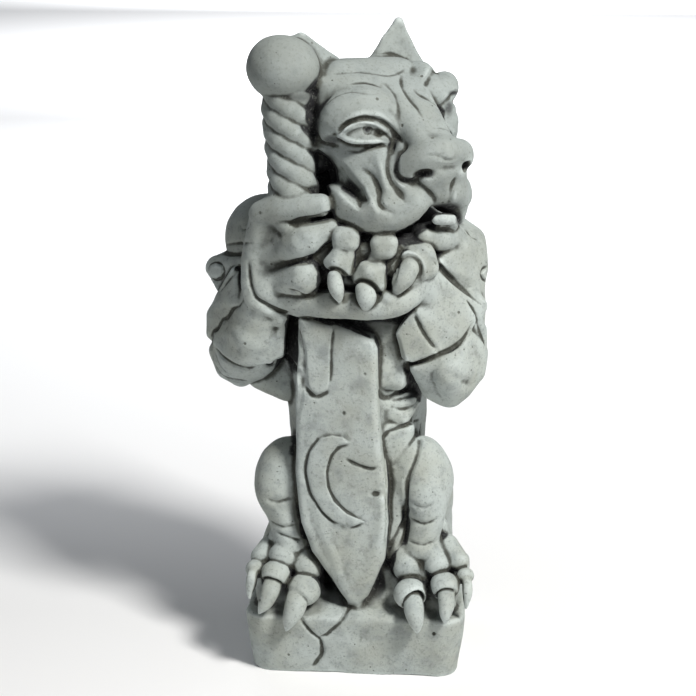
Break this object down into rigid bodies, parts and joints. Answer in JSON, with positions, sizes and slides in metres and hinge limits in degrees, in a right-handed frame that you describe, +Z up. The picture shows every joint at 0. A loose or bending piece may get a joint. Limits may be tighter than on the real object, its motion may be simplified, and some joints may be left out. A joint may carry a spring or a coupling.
{
  "type": "gargoyle statue",
  "caption": "Crouching gargoyle with pointed ears, in plate armour, resting its chin on its hands over an upright sword, cast in one with a low plinth.",
  "frame": {"origin": "centre of the plinth's flat underside", "axes": "+Z up along the statue's height, the beast's front towards -Y, +X to the viewer's right"},
  "size_m": [0.2684, 0.2121, 0.6062],
  "materials": {
    "pale_cast_stone": "matt cast stone, pale grey on the high places and dark in the creases"
  },
  "bodies": {
    "root": {"gargoyle_statue": "pale_cast_stone"}
  },
  "joints": []
}
